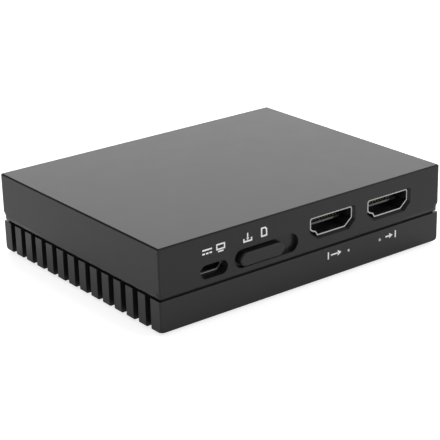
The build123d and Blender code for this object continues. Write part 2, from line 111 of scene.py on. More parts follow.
# %% Make the camera
IMAGE_WIDTH = 440
SENSOR_WIDTH = 36
AZIMUTH = math.radians(-37.319)
ELEVATION = math.radians(20.908)
ROLL = math.radians(-1.431)
FOCAL_PIXELS = 1494.7
CAMERA_PLACE = Vector((-235.8, -309.0, 156.6)) * MM
NEAREST_SEEN = 0.01
scene = bpy.context.scene


def put_in_scene(name, data):
    """New object with its data, in the scene."""
    item = bpy.data.objects.new(name, data)
    scene.collection.objects.link(item)
    return item


flat = math.cos(ELEVATION)
back = Vector((math.sin(AZIMUTH) * flat, -math.cos(AZIMUTH) * flat, math.sin(ELEVATION)))
level_right = (-back).cross(Vector((0, 0, 1))).normalized()
level_up = level_right.cross(-back)
right = math.cos(ROLL) * level_right + math.sin(ROLL) * level_up
up = math.cos(ROLL) * level_up - math.sin(ROLL) * level_right

camera = put_in_scene("camera", bpy.data.cameras.new("camera"))
camera.data.sensor_width = SENSOR_WIDTH
camera.data.lens = FOCAL_PIXELS * SENSOR_WIDTH / IMAGE_WIDTH
camera.data.clip_start = NEAREST_SEEN
turn = Matrix((right, up, back)).transposed().to_4x4()
camera.matrix_world = Matrix.Translation(CAMERA_PLACE) @ turn
scene.camera = camera
print("lens:", round(camera.data.lens, 1), "mm")

# %% [markdown]
# ## Nodes by name
#
# The room, the finishes and the pieces that repeat are all built from nodes. A few helpers keep that
# readable: the first adds a node and sets or links its inputs by name, and the second does a sum.

# %% Helpers that add a node


def add(tree, kind, **values):
    """A node with its properties and inputs set, where another node's output is linked."""
    node = tree.nodes.new(kind)
    for key, value in values.items():
        label = key.replace("_", " ")
        if hasattr(node, key):
            setattr(node, key, value)
        elif isinstance(value, bpy.types.NodeSocket):
            tree.links.new(value, node.inputs[label])
        else:
            node.inputs[label].default_value = value
    return node


def number(tree, operation, first, second):
    """Math node on two values, each a socket or a number."""
    step = add(tree, "ShaderNodeMath", operation=operation)
    for socket, value in zip(step.inputs, (first, second)):
        if isinstance(value, (int, float)):
            socket.default_value = value
        else:
            tree.links.new(value, socket)
    return step.outputs[0]


print("node helpers are ready")

# %% [markdown]
# Two more steps come back again and again: a choice between two shaders, and a colour that is read
# from a ramp of tones. A ramp starts with two stops, and the further ones are added before all are
# moved to their places.

# %% Helpers that choose a shader or a tone


def either(tree, factor, first, second):
    """The first shader where a factor is 0, and the second where it is 1."""
    mixed = add(tree, "ShaderNodeMixShader")
    for socket, source in zip(mixed.inputs, (factor, first, second)):
        tree.links.new(source, socket)
    return mixed.outputs[0]


def tones_at(tree, value, stops, curve="LINEAR"):
    """Colour for a value, from pairs of a place and a tone."""
    ramp = add(tree, "ShaderNodeValToRGB")
    ramp.color_ramp.interpolation = curve
    while len(ramp.color_ramp.elements) < len(stops):
        ramp.color_ramp.elements.new(0.5)
    for stop, (place, tone) in zip(ramp.color_ramp.elements, stops):
        stop.position = place
        stop.color = (*tone, 1)
    tree.links.new(value, ramp.inputs[0])
    return ramp.outputs["Color"]


print("helpers for shaders and tones are ready")

# %% [markdown]
# ## The studio
#
# A black box shows little of its own colour. What the eye reads is what its faces mirror: a white
# floor in the upright faces, a pale backdrop in the top face, and a dark part of the room in the
# small edge round the lid. So the world is built as a room with a dark band over it, to the upper
# left, and a dim ceiling beyond the band. The band needs only the direction that a ray looks in,
# compared with the direction of the dark side.

# %% Shade the room
DARK_SIDE = Vector((-0.45, 0.0, 0.89))
ROOM_SHADES = ((0.22, 1.0), (0.56, 0.015), (0.70, 0.015), (0.92, 0.5))

scene.view_settings.view_transform = "Standard"
world = bpy.data.worlds.new("studio_room")
scene.world = world
world.use_nodes = True
room = world.node_tree
room.nodes.clear()

coordinate = add(room, "ShaderNodeTexCoord")
towards_dark = add(room, "ShaderNodeVectorMath", operation="DOT_PRODUCT")
towards_dark.inputs[1].default_value = DARK_SIDE
room.links.new(coordinate.outputs["Generated"], towards_dark.inputs[0])
grey_stops = [(place, (shade,) * 3) for place, shade in ROOM_SHADES]
room_shade = tones_at(room, towards_dark.outputs["Value"], grey_stops, "EASE")
print("shades round the room:", len(ROOM_SHADES))

# %% [markdown]
# Only mirrored rays see that room. The camera sees plain white, also through clear pieces, and matt
# light comes evenly from all sides. Light Path tells the kinds of ray apart, so one world does all.

# %% Light the room
WHITE = (1, 1, 1, 1)
ROOM_FILL = 0.4

mirrored = add(room, "ShaderNodeBackground", Color=room_shade, Strength=1.0)
fill = add(room, "ShaderNodeBackground", Color=WHITE, Strength=ROOM_FILL)
seen = add(room, "ShaderNodeBackground", Color=WHITE, Strength=1.0)
ray = add(room, "ShaderNodeLightPath")
light = either(room, ray.outputs["Is Glossy Ray"], fill.outputs[0], mirrored.outputs[0])
looked = number(room, "MAXIMUM", ray.outputs["Is Camera Ray"], ray.outputs["Is Transmission Ray"])
add(room, "ShaderNodeOutputWorld", Surface=either(room, looked, light, seen.outputs[0]))
print("room nodes:", len(room.nodes))

# %% [markdown]
# ## The floor
#
# The floor glows a little, which makes it white without a single lamp turned up, and it also takes
# light as a matt surface, so that the box keeps its soft shadow. In mirrored light it glows less, so
# the shadow close to the box shows in the lower part of its sides. The floor's underside is clear
# for the camera, so that the box can be looked at from below.

# %% Lay the floor
FLOOR_HALF = 3.0
FLOOR_LEVEL = -0.03 * MM
FLOOR_GLOW = 0.35
FLOOR_SEEN_GLOW = 0.75
FLOOR_COLOUR = (0.8, 0.8, 0.8, 1)

floor_mesh = bpy.data.meshes.new("studio_floor")
corner_signs = ((-1, -1), (1, -1), (1, 1), (-1, 1))
floor_corners = [(x * FLOOR_HALF, y * FLOOR_HALF, FLOOR_LEVEL) for x, y in corner_signs]
floor_mesh.from_pydata(floor_corners, [], [(0, 1, 2, 3)])
floor = put_in_scene("studio_floor", floor_mesh)
paper = bpy.data.materials.new("white_paper")
paper.use_nodes = True
sheet = paper.node_tree
sheet.nodes.clear()
ray = add(sheet, "ShaderNodeLightPath")
strength = add(sheet, "ShaderNodeMapRange", Value=ray.outputs["Is Camera Ray"], To_Min=FLOOR_GLOW,
               To_Max=FLOOR_SEEN_GLOW)
matt = add(sheet, "ShaderNodeBsdfDiffuse", Color=FLOOR_COLOUR)
glow = add(sheet, "ShaderNodeEmission", Color=WHITE, Strength=strength.outputs["Result"])
both = add(sheet, "ShaderNodeAddShader")
sheet.links.new(matt.outputs[0], both.inputs[0])
sheet.links.new(glow.outputs[0], both.inputs[1])
side = add(sheet, "ShaderNodeNewGeometry")
from_below = number(sheet, "MULTIPLY", side.outputs["Backfacing"], ray.outputs["Is Camera Ray"])
clear = add(sheet, "ShaderNodeBsdfTransparent")
floor_shader = either(sheet, from_below, both.outputs[0], clear.outputs[0])
add(sheet, "ShaderNodeOutputMaterial", Surface=floor_shader)
floor_mesh.materials.append(paper)
print("floor:", 2 * FLOOR_HALF, "m square")

# %% [markdown]
# ## The lamps
#
# Three soft, weak lamps are enough: a wide one high over the box, a panel behind its right back
# corner, which the top mirrors, and a weak one at the front right that opens the sockets a little.

# %% Hang the lamps


def soft_lamp(name, place, size, power):
    """Square area lamp that faces the middle of the box."""
    lamp = put_in_scene(name, bpy.data.lights.new(name, "AREA"))
    lamp.data.size = size
    lamp.data.energy = power
    lamp.location = Vector(place)
    lamp.rotation_mode = "QUATERNION"
    lamp.rotation_quaternion = (-lamp.location).to_track_quat("-Z", "Y")
    print(name, "at", place, "m,", power, "W")


soft_lamp("high_soft_box", place=(0.35, 0.3, 0.9), size=0.6, power=5.5)
soft_lamp("back_panel", place=(0.68, 0.89, 0.43), size=1.2, power=3.05)
soft_lamp("front_fill", place=(0.45, -0.7, 0.3), size=0.4, power=1.2)

# %% [markdown]
# ## Finishes
#
# No real surface is one flat colour. The housing is fine-blasted, anodised metal, whose grain is a
# tenth of a millimetre; plated steel has rolling lines along its length; moulded plastic has a soft
# orange-peel; a board has copper under its lacquer. All of it is built from noise that reads Object
# coordinates, so it stays on the piece when the piece moves.

# %% Helpers that read noise
NOISE_LOW = 0.3
NOISE_HIGH = 0.7


def start_finish(name):
    """Empty node material with a Principled shader and Object coordinates."""
    material = bpy.data.materials.new(name)
    material.use_nodes = True
    tree = material.node_tree
    tree.nodes.clear()
    shader = add(tree, "ShaderNodeBsdfPrincipled")
    add(tree, "ShaderNodeOutputMaterial", Surface=shader.outputs[0])
    return material, tree, shader, add(tree, "ShaderNodeTexCoord")


def noise_at(tree, coordinate, grain, stretch=(1, 1, 1), detail=3.0):
    """Noise with cells of a given size, drawn out along the axes with a stretch over 1."""
    scale = [1 / (grain * s) for s in stretch]
    place = add(tree, "ShaderNodeMapping", Scale=scale, Vector=coordinate.outputs["Object"])
    noise = add(tree, "ShaderNodeTexNoise", Scale=1.0, Detail=detail, Vector=place.outputs[0])
    return noise.outputs["Fac"]


def spread(tree, value, low, high):
    """Noise value as a number between two limits."""
    ranged = add(tree, "ShaderNodeMapRange", Value=value, From_Min=NOISE_LOW, From_Max=NOISE_HIGH,
                 To_Min=low, To_Max=high)
    return ranged.outputs["Result"]


print("most of a noise lies between", NOISE_LOW, "and", NOISE_HIGH)

# %% [markdown]
# A grained finish uses the same fine noise for its two tones and for its relief, as on a real blasted
# or moulded surface, where a pit is also darker. A second, broad noise changes the gloss slowly.

# %% A helper for grained finishes
BROAD_GRAINS = 60
RELIEF_STRENGTH = 0.35


def relief(tree, value, shader, height, strength):
    """Bump of a real height on the shader's normal."""
    bump = add(tree, "ShaderNodeBump", Strength=strength, Distance=height, Height=value)
    tree.links.new(bump.outputs[0], shader.inputs["Normal"])


def grained(name, dark, light, rough, grain, height, metal=0.0, stretch=(1, 1, 1), shine=0.5):
    """Finish with two tones, a range of roughness and a fine relief, its grain and height in mm."""
    material, tree, shader, coordinate = start_finish(name)
    shader.inputs["Metallic"].default_value = metal
    shader.inputs["Specular IOR Level"].default_value = shine
    fine = noise_at(tree, coordinate, grain * MM, stretch)
    broad = noise_at(tree, coordinate, BROAD_GRAINS * (grain * MM), detail=2.0)
    tones = tones_at(tree, fine, ((NOISE_LOW, dark), (NOISE_HIGH, light)))
    tree.links.new(tones, shader.inputs["Base Color"])
    tree.links.new(spread(tree, broad, *rough), shader.inputs["Roughness"])
    relief(tree, fine, shader, height * MM, RELIEF_STRENGTH)
    return material


print("broad noise:", BROAD_GRAINS, "grains wide")

# %% [markdown]
# The rows below are the paint shop for the housing and its small parts, one row for each material slot
# of the record. Dark tones sit near 0.01 to 0.03 in linear light, because even black anodising
# returns a little.

# %% Mix the dark finishes
finishes = {}


def mix(slot, *tones, **feel):
    """Mix the finish of a slot."""
    finishes[slot] = grained(slot, *tones, **feel)


mix("cover_black", (0.010, 0.010, 0.0102), (0.017, 0.017, 0.0173), (0.30, 0.32), grain=0.11,
    height=0.003, shine=0.27)
mix("base_black", (0.010, 0.010, 0.0102), (0.018, 0.018, 0.0183), (0.30, 0.33), grain=0.12,
    height=0.004, shine=0.3)
mix("foot_rubber", (0.010, 0.010, 0.010), (0.022, 0.022, 0.022), (0.75, 0.9), grain=0.25,
    height=0.02, shine=0.3)
mix("socket_plastic", (0.007, 0.007, 0.0072), (0.012, 0.012, 0.0123), (0.18, 0.24), grain=0.08,
    height=0.003, shine=1.0)
mix("lever_plastic", (0.02, 0.02, 0.021), (0.035, 0.035, 0.036), (0.4, 0.5), grain=0.1, height=0.004)
mix("knob_plastic", (0.010, 0.010, 0.0103), (0.016, 0.016, 0.0164), (0.36, 0.4), grain=0.14,
    height=0.006, shine=0.3)
mix("chip_epoxy", (0.012, 0.012, 0.012), (0.028, 0.028, 0.029), (0.5, 0.65), grain=0.07, height=0.005)
mix("ferrite", (0.05, 0.05, 0.055), (0.1, 0.1, 0.11), (0.6, 0.75), grain=0.15, height=0.008)
print("dark finishes:", len(finishes))

# %% [markdown]
# Metals have no matt colour of their own, so their tones say how much they mirror. Sheet steel and
# blades are rolled, and their grain is drawn out along the way they were rolled.

# %% Mix the metals and the light finishes
mix("screw_steel", (0.05, 0.05, 0.052), (0.09, 0.09, 0.094), (0.3, 0.42), grain=0.1, height=0.004,
    metal=1.0)
mix("socket_steel", (0.33, 0.33, 0.335), (0.41, 0.41, 0.415), (0.24, 0.3), grain=0.05, height=0.002,
    metal=1.0, stretch=(1, 14, 1))
mix("contact_gold", (0.24, 0.175, 0.085), (0.31, 0.235, 0.125), (0.36, 0.46), grain=0.06,
    height=0.002, metal=1.0, stretch=(1, 10, 1))
mix("switch_steel", (0.5, 0.5, 0.51), (0.62, 0.62, 0.63), (0.3, 0.42), grain=0.06, height=0.003,
    metal=1.0, stretch=(12, 1, 1))
mix("crystal_steel", (0.55, 0.54, 0.5), (0.68, 0.67, 0.63), (0.25, 0.35), grain=0.06, height=0.002,
    metal=1.0)
mix("capacitor_can", (0.62, 0.62, 0.64), (0.76, 0.76, 0.78), (0.25, 0.4), grain=0.06, height=0.002,
    metal=1.0, stretch=(1, 1, 12))
mix("led_body", (0.75, 0.7, 0.5), (0.85, 0.82, 0.66), (0.15, 0.3), grain=0.1, height=0.002)
mix("light_pipe", (0.50, 0.51, 0.52), (0.62, 0.63, 0.64), (0.3, 0.45), grain=0.08, height=0.004)
mix("pad_rubber", (0.30, 0.35, 0.43), (0.40, 0.45, 0.53), (0.6, 0.75), grain=0.3, height=0.01,
    shine=0.3)
mix("capacitor_ceramic", (0.42, 0.32, 0.2), (0.52, 0.41, 0.28), (0.45, 0.6), grain=0.12, height=0.003)
print("finishes:", len(finishes))

# %% [markdown]
# The board is the one finish with a pattern of its own: copper tracks show through black lacquer as
# a net of slightly lighter lines. A Voronoi texture gives such a net from the distance to the edges
# of its cells. The glass weave under the lacquer changes the gloss and gives a fine relief.

# %% Mix the board's lacquer
TRACK_PITCH = 2.2 * MM
TRACK_EDGE = 0.09
TRACK_TONE = (0.035, 0.037, 0.035)
LACQUER_TONE = (0.014, 0.015, 0.014)
WEAVE_GRAIN = 0.3 * MM
WEAVE_HEIGHT = 0.004 * MM

board_finish, tree, shader, coordinate = start_finish("board_laminate")
cells = add(tree, "ShaderNodeTexVoronoi", feature="DISTANCE_TO_EDGE", Scale=1 / TRACK_PITCH,
            Vector=coordinate.outputs["Object"])
tracks = tones_at(tree, cells.outputs["Distance"], ((0.0, TRACK_TONE), (TRACK_EDGE, LACQUER_TONE)))
tree.links.new(tracks, shader.inputs["Base Color"])
weave = noise_at(tree, coordinate, WEAVE_GRAIN, stretch=(3, 1, 1))
tree.links.new(spread(tree, weave, low=0.3, high=0.4), shader.inputs["Roughness"])
relief(tree, weave, shader, WEAVE_HEIGHT, strength=0.3)
finishes["board_laminate"] = board_finish
print("slots without a finish:", sorted(set(subparts.values()) - set(finishes)))

# %% [markdown]
# ## Dress the CAD nodes
#
# Each node keeps its mesh, and every slot of its object gets the finish that the record names.

# %% Put the finishes on the nodes
for name, piece in nodes.items():
    finish = finishes[subparts[name]]
    if not piece.material_slots:
        piece.data.materials.append(finish)
    for place in piece.material_slots:
        place.material = finish
print("dressed", len(nodes), "nodes")

# %% [markdown]
# ## Soften the edges
#
# A CAD edge is perfectly sharp and vanishes in a render. On the real box each edge is broken by a
# tenth of a millimetre, and that is the thin line where light and dark meet. A Bevel modifier rounds
# what is sharp, and its result is then taken as one plain mesh.

# %% Helpers for broken edges and plain meshes
SHARP = math.radians(30)


def break_edges(piece, width, steps=2):
    """Bevel modifier on the sharp edges of a piece."""
    bevel = piece.modifiers.new("edge", "BEVEL")
    bevel.width = width
    bevel.segments = steps
    bevel.limit_method = "ANGLE"
    bevel.angle_limit = SHARP
    bevel.use_clamp_overlap = True


def plain_mesh(source, name):
    """New object with the evaluated mesh of another, which is then removed."""
    bpy.context.view_layer.update()
    graph = bpy.context.evaluated_depsgraph_get()
    mesh = bpy.data.meshes.new_from_object(source.evaluated_get(graph))
    mesh.name = name
    bpy.data.objects.remove(source)
    return put_in_scene(name, mesh)


def smooth_by_angle(mesh):
    """Smooth shading that breaks at sharp edges."""
    shape = bmesh.new()
    shape.from_mesh(mesh)
    for face in shape.faces:
        face.smooth = True
    for edge in shape.edges:
        edge.smooth = len(edge.link_faces) == 2 and edge.calc_face_angle(0) < SHARP
    shape.to_mesh(mesh)
    shape.free()


print("edges are sharp from", round(math.degrees(SHARP)), "degrees on")

# %% [markdown]
# The mesh of a node is loose triangles and stays as it is. So a copy is merged first, flat areas are
# joined into whole faces, and the copy is rounded and stands in for the node. No point may leave the
# node's own box, and weighted normals keep the large faces flat to the eye.

# %% A helper that softens a copy of a node
MERGE_WITHIN = 0.002 * MM
FLAT_WITHIN = math.radians(0.5)


def softened(node, name, edge, steps=2, reshape=None):
    """Merged copy of a node with its sharp edges rounded, in place of the node."""
    shape = bmesh.new()
    shape.from_mesh(nodes[node].data)
    bmesh.ops.remove_doubles(shape, verts=shape.verts, dist=MERGE_WITHIN)
    if reshape:
        reshape(shape)
    bmesh.ops.dissolve_limit(shape, angle_limit=FLAT_WITHIN, verts=shape.verts, edges=shape.edges)
    mesh = bpy.data.meshes.new(name)
    shape.to_mesh(mesh)
    shape.free()
    mesh.materials.clear()
    mesh.materials.append(finishes[subparts[node]])
    rough = put_in_scene(name + "_rough", mesh)
    if edge > 0:
        break_edges(rough, edge, steps)
    rounded = plain_mesh(rough, name + "_round")
    low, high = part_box(node)
    for vertex in rounded.data.vertices:
        vertex.co = [max(low[i], min(high[i], vertex.co[i])) for i in range(3)]
    smooth_by_angle(rounded.data)
    flatten = rounded.modifiers.new("flatten", "WEIGHTED_NORMAL")
    flatten.keep_sharp = True
    piece = plain_mesh(rounded, name)
    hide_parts(node)
    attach(piece, body_of(nodes[node])[0])
    print(name, "faces:", len(piece.data.polygons))
    return piece


print("points merge within", MERGE_WITHIN / MM, "mm")

# %% [markdown]
# The photograph shows a shallow pocket round the knob: its floor is lit almost up to the end wall.
# The CAD keeps the pocket as deep as the wall, so here its floor is brought forward, and the back of
# the knob with it. Only the depth of the two changes, and the gap between them stays.

# %% Make the pocket shallow
POCKET_LIFT = 0.85 * MM
KNOB_TRAVEL = 4.0 * MM
KNOB_FLOAT = 0.2 * MM
KNOB_DROP = 0.15 * MM
END_GAP = 1.25 * MM
SIDE_GAP = 0.7 * MM
FOUND_WITHIN = 0.01 * MM
knob_low, knob_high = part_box("mode_switch_knob")


def lift_pocket_floor(shape):
    """Bring the floor of the pocket and the mouth of its slot forward."""
    radius = (knob_high.z - knob_low.z) / 2 + SIDE_GAP
    level = (knob_high.z + knob_low.z) / 2 + KNOB_DROP
    left_x = knob_low.x - END_GAP + radius
    right_x = knob_high.x + KNOB_TRAVEL + END_GAP - radius
    moved = 0
    for vertex in shape.verts:
        place = vertex.co
        aside = place.x - min(max(place.x, left_x), right_x)
        inside = math.hypot(aside, place.z - level) < radius + SIDE_GAP / 2
        if inside and abs(place.y - knob_high.y - KNOB_FLOAT) < FOUND_WITHIN:
            place.y -= POCKET_LIFT
            moved += 1
    print("pocket floor points moved:", moved)


def lift_knob_back(shape):
    """Bring the back of the knob forward by as much."""
    for vertex in shape.verts:
        if abs(vertex.co.y - knob_high.y) < FOUND_WITHIN:
            vertex.co.y -= POCKET_LIFT


print("pocket floor lifted by", POCKET_LIFT / MM, "mm")

# %% [markdown]
# Both shells have softer edges than CAD gives them: the lower edge of the cover curls in a little
# over the seam, the corners fall back there in a smooth hollow, and the lower edge of the base is
# round, most of all at its corners. Such an edge needs points between its ends, so planes cut the
# mesh first, and then each point is pushed in as far as a curve says.

# %% Helpers that cut a mesh and push its points in
CUT_WITHIN = 0.0005 * MM


def cut(shape, place, facing, parts=None):
    """Add points where a plane crosses the shape, or some parts of it."""
    parts = parts or shape.verts[:] + shape.edges[:] + shape.faces[:]
    bmesh.ops.bisect_plane(shape, geom=parts, dist=CUT_WITHIN, plane_co=place, plane_no=facing)


def cut_levels(shape, low_z, heights):
    """Add points on level planes at heights in mm."""
    for height in heights:
        cut(shape, (0, 0, low_z + height * MM), (0, 0, 1))


def push_in(place, inset, corner=0.0):
    """Keep a point a given distance inside the outer faces of the box, and inside round corners."""
    for axis in (0, 1):
        limit = base_high[axis] - inset
        place[axis] = max(-limit, min(limit, place[axis]))
    centre = Vector((base_high.x - inset - corner, base_high.y - inset - corner))
    ray = Vector((abs(place.x), abs(place.y))) - centre
    if corner > 0 and min(ray) > 0 and ray.length > corner:
        reach = centre + ray.normalized() * corner
        place.x = math.copysign(reach.x, place.x)
        place.y = math.copysign(reach.y, place.y)


print("planes cut within", CUT_WITHIN / MM, "mm")

# %% [markdown]
# The cover is hollowed at its lower corners, in CAD with a step at the top. On the real one the
# hollow runs out without a step, so each of its points is moved along the ray from the hollow's
# centre towards the plain corner, by a share of the way.

# %% A helper that fills a corner's hollow
HOLLOW_RADIUS = 1.95 * MM
ON_HOLLOW = 0.05 * MM
CORNER_RADIUS = 0.4 * MM


def hollow_corner(place, share):
    """Move a point of a corner's hollow towards the plain corner, all the way at a share of 0."""
    centre = Vector((base_high.x - HOLLOW_RADIUS, base_high.y - HOLLOW_RADIUS))
    ray = Vector((abs(place.x), abs(place.y))) - centre
    if min(ray) < 0 or abs(ray.length - HOLLOW_RADIUS) > ON_HOLLOW:
        return
    ray.normalize()
    inner = Vector((HOLLOW_RADIUS - CORNER_RADIUS,) * 2)
    plain = HOLLOW_RADIUS / max(ray)
    if min(ray) * plain > inner.x:
        along = ray.dot(inner)
        plain = along + math.sqrt(along ** 2 - inner.length_squared + CORNER_RADIUS ** 2)
    reach = centre + ray * (HOLLOW_RADIUS + (plain - HOLLOW_RADIUS) * (1 - share))
    place.x = math.copysign(reach.x, place.x)
    place.y = math.copysign(reach.y, place.y)


print("hollow radius:", HOLLOW_RADIUS / MM, "mm")

# %% [markdown]
# The hollow keeps two thirds of its depth at the bottom and loses it towards its top along a curve
# that starts and ends level, 3 t squared less 2 t cubed. The curl is deepest at the lower edge and
# fades with the square of the height.

# %% Shape the cover
CURL_DEPTH = 0.26 * MM
CURL_HEIGHT = 1.2 * MM
HOLLOW_HEIGHT = 2.3 * MM
HOLLOW_FALL = 1.3 * MM
HOLLOW_SHARE = 0.65
LEAST_SHARE = 0.04
SLIVER = 0.005 * MM
COVER_LEVELS_MM = (0.2, 0.45, 0.8, 1.2, 1.5, 1.8, 2.1)
cover_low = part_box("top_cover")[0]


def shape_cover(shape):
    """Shallow pocket, hollow corners and curled lower edge."""
    lift_pocket_floor(shape)
    cut_levels(shape, cover_low.z, COVER_LEVELS_MM)
    for vertex in shape.verts:
        height = vertex.co.z - cover_low.z
        if height < HOLLOW_HEIGHT + FOUND_WITHIN:
            share = max(LEAST_SHARE, min(1.0, (HOLLOW_HEIGHT - height) / HOLLOW_FALL))
            hollow_corner(vertex.co, HOLLOW_SHARE * share * share * (3 - 2 * share))
        if height < CURL_HEIGHT:
            push_in(vertex.co, CURL_DEPTH * (1 - height / CURL_HEIGHT) ** 2)
    bmesh.ops.remove_doubles(shape, verts=shape.verts, dist=FOUND_WITHIN)
    bmesh.ops.dissolve_degenerate(shape, edges=shape.edges, dist=SLIVER)


print("cover levels:", len(COVER_LEVELS_MM))

# %% [markdown]
# A quarter circle along the lower edge of the base is enough, and at the corners the upright round
# grows towards the floor, as on a cast shell. Upright planes near the corners give it its points.

# %% Shape the base
BASE_ROUND = 0.45 * MM
CORNER_HEIGHT = 1.3 * MM
CORNER_GROWTH = 0.9 * MM
BASE_LEVELS_MM = (0.04, 0.12, 0.24, 0.45, 0.7, 1.0, 1.3)
CORNER_PLANES_MM = (1.75, 1.5, 1.25, 0.95, 0.7)


def cut_corners(shape, distances):
    """Add points on upright planes at distances in mm from the outer faces of the box."""
    for axis in (0, 1):
        for distance in distances:
            for sign in (-1, 1):
                place, facing = [0, 0, 0], [0, 0, 0]
                place[axis] = sign * (base_high[axis] - distance * MM)
                facing[axis] = 1
                cut(shape, place, facing)


def shape_base(shape):
    """Round lower edge, rounder still at the corners."""
    cut_levels(shape, base_low.z, BASE_LEVELS_MM)
    cut_corners(shape, CORNER_PLANES_MM)
    for vertex in shape.verts:
        height = vertex.co.z - base_low.z
        if height < CORNER_HEIGHT:
            level = min(height, BASE_ROUND)
            inset = BASE_ROUND - math.sqrt(BASE_ROUND ** 2 - (BASE_ROUND - level) ** 2)
            growth = (1 - height / CORNER_HEIGHT) ** 2
            push_in(vertex.co, inset, CORNER_RADIUS + CORNER_GROWTH * growth)
    bmesh.ops.remove_doubles(shape, verts=shape.verts, dist=MERGE_WITHIN)


print("base levels:", len(BASE_LEVELS_MM))

# %% [markdown]
# The tongue of a video socket carries the contacts. In the photograph it sits a little lower in the
# mouth than in CAD, so it is lowered here, and its blades are lowered with it further on.

# %% Lower the tongues
TONGUE_DROP = 0.3 * MM
TONGUE_REACH = 3.5 * MM


def lower_tongue(shape):
    """Lower what stands out in front of the socket's block."""
    front_end = min(vertex.co.y for vertex in shape.verts)
    for vertex in shape.verts:
        if vertex.co.y < front_end + TONGUE_REACH:
            vertex.co.z -= TONGUE_DROP


print("tongues go down by", TONGUE_DROP / MM, "mm")

# %% [markdown]
# The sheet of a video socket has a small dent pressed into its lower left slope, next to the rim.
# The slope runs between two places that are counted from the middle of the mouth, across and up. It
# is cut across at a few shares of its length, and behind the rim at a few depths.

# %% Cut the slope of the socket
SLOPE_START = Vector((-6.37, -0.87)) * MM
SLOPE_END = Vector((-4.69, -2.3)) * MM
MOUTH_TOP = 2.65 * MM
CUT_REACH = 3.2 * MM
DENT_CUTS_MM = (0.5, 1.2, 2.0)
DENT_SHARES = ((0.0, 0.0), (0.12, 0.18), (0.3, 0.75), (0.5, 1.0), (0.7, 0.75), (0.88, 0.18), (1.0, 0.0))
slope = SLOPE_END - SLOPE_START
along_slope = slope.normalized()


def cut_slope(shape, start, front):
    """Add points across the slope and behind the rim."""
    for share, _ in DENT_SHARES:
        place = start + slope * share
        near = [f for f in shape.faces if abs(f.calc_center_median().x - start.x) < CUT_REACH]
        ends = dict.fromkeys(v for f in near for v in f.verts)
        sides = dict.fromkeys(e for f in near for e in f.edges)
        parts = [*ends, *sides, *near]
        cut(shape, (place.x, 0, place.y), (along_slope.x, 0, along_slope.y), parts)
    for depth in DENT_CUTS_MM:
        cut(shape, (0, front + depth * MM, 0), (0, 1, 0))


print("slope is", round(slope.length / MM, 2), "mm long")

# %% [markdown]
# The points of the slope are then pushed towards the mouth: most in its middle, nothing at its ends,
# and less and less away from the rim.

# %% Press the dent
DENT_DEPTH = 0.36 * MM
DENT_REACH = 2.0 * MM
DENT_FADE = 1.3
SHEET = 0.35 * MM
SHEET_PLAY = 0.05 * MM


def dent_at(share):
    """Share of the dent's depth at a share of the slope's length, and none past its end."""
    for (s0, d0), (s1, d1) in zip(DENT_SHARES, DENT_SHARES[1:]):
        if share <= s1:
            return d0 + (d1 - d0) * (share - s0) / (s1 - s0)
    return 0.0


def press_dent(shape):
    """Push the middle of the lower left slope inwards at the rim."""
    front = min(vertex.co.y for vertex in shape.verts)
    high_z = max(vertex.co.z for vertex in shape.verts)
    middle_x = (max(v.co.x for v in shape.verts) + min(v.co.x for v in shape.verts)) / 2
    start = Vector((middle_x, high_z - MOUTH_TOP)) + SLOPE_START
    cut_slope(shape, start, front)
    inwards = Vector((-along_slope.y, along_slope.x))
    moved = 0
    for vertex in shape.verts:
        offset = Vector((vertex.co.x, vertex.co.z)) - start
        share = offset.dot(along_slope) / slope.length
        outside = -offset.dot(inwards)
        fade = 1 - (vertex.co.y - front) / DENT_REACH
        if fade > 0 and 0 < share < 1 and -SHEET_PLAY < outside < SHEET + SHEET_PLAY:
            push = dent_at(share) * DENT_DEPTH * min(1.0, fade * DENT_FADE)
            vertex.co.x += inwards.x * push
            vertex.co.z += inwards.y * push
            moved += 1
    print("dent points moved:", moved)


print("dent depth:", DENT_DEPTH / MM, "mm")

# %% [markdown]
# Now the copies are made. How wide an edge is comes from how the piece was made: widest on rubber
# feet and bent sheet, and narrow on mouldings. The cover's edges are left to its own curl, because a
# bevel there would leave slivers between its many levels.

# %% Soften the housing, the knob and the sockets
softened("top_cover", "cover_skin", edge=0, reshape=shape_cover)
softened("finned_base", "base_skin", edge=0.06 * MM, reshape=shape_base)
softened("mode_switch_knob", "switch_knob_cap", edge=0.04 * MM, reshape=lift_knob_back)
out_sleeve = softened("out_socket_shell", "out_socket_sleeve", edge=0.07 * MM, reshape=press_dent)
in_sleeve = softened("in_socket_shell", "in_socket_sleeve", edge=0.07 * MM, reshape=press_dent)
power_sleeve = softened("power_socket_shell", "power_socket_sleeve", edge=0.04 * MM)
softened("out_socket_insulator", "out_socket_tongue", edge=0.05 * MM, reshape=lower_tongue)
softened("in_socket_insulator", "in_socket_tongue", edge=0.05 * MM, reshape=lower_tongue)
softened("power_socket_insulator", "power_socket_tongue", edge=0.04 * MM)
softened("rubber_feet", "soft_feet", edge=0.12 * MM, steps=3)

# %% [markdown]
# A sleeve is bent from sheet steel. Its inner walls lie in the shade of the mouth, and they get a darker
# finish of their own, which is painted shade, so that the mouth of a socket looks black. A wall is an
# inner one where its face looks towards the middle of the sleeve.

# %% Paint shade on the inside of the sleeves
LOOKS_INWARDS = 0.5
# Darker steel that paints shade on walls in the shade of a socket's mouth; it is also rougher.
dull_steel = grained("dull_steel", (0.09, 0.09, 0.091), (0.13, 0.13, 0.132), (0.45, 0.55), grain=0.05,
                     height=0.002, metal=1.0, stretch=(1, 14, 1))


def is_inner(face, centre):
    """Whether a face looks towards the middle of its sleeve."""
    inwards = Vector((centre.x - face.center.x, 0, centre.z - face.center.z)).normalized()
    return face.normal.dot(inwards) > LOOKS_INWARDS


def paint_shade(sleeve, faces):
    """Give some faces of a sleeve the darker finish, which is painted shade."""
    sleeve.data.materials.append(dull_steel)
    for face in faces:
        face.material_index = len(sleeve.data.materials) - 1
    print(sleeve.name, "dull faces:", len(faces))


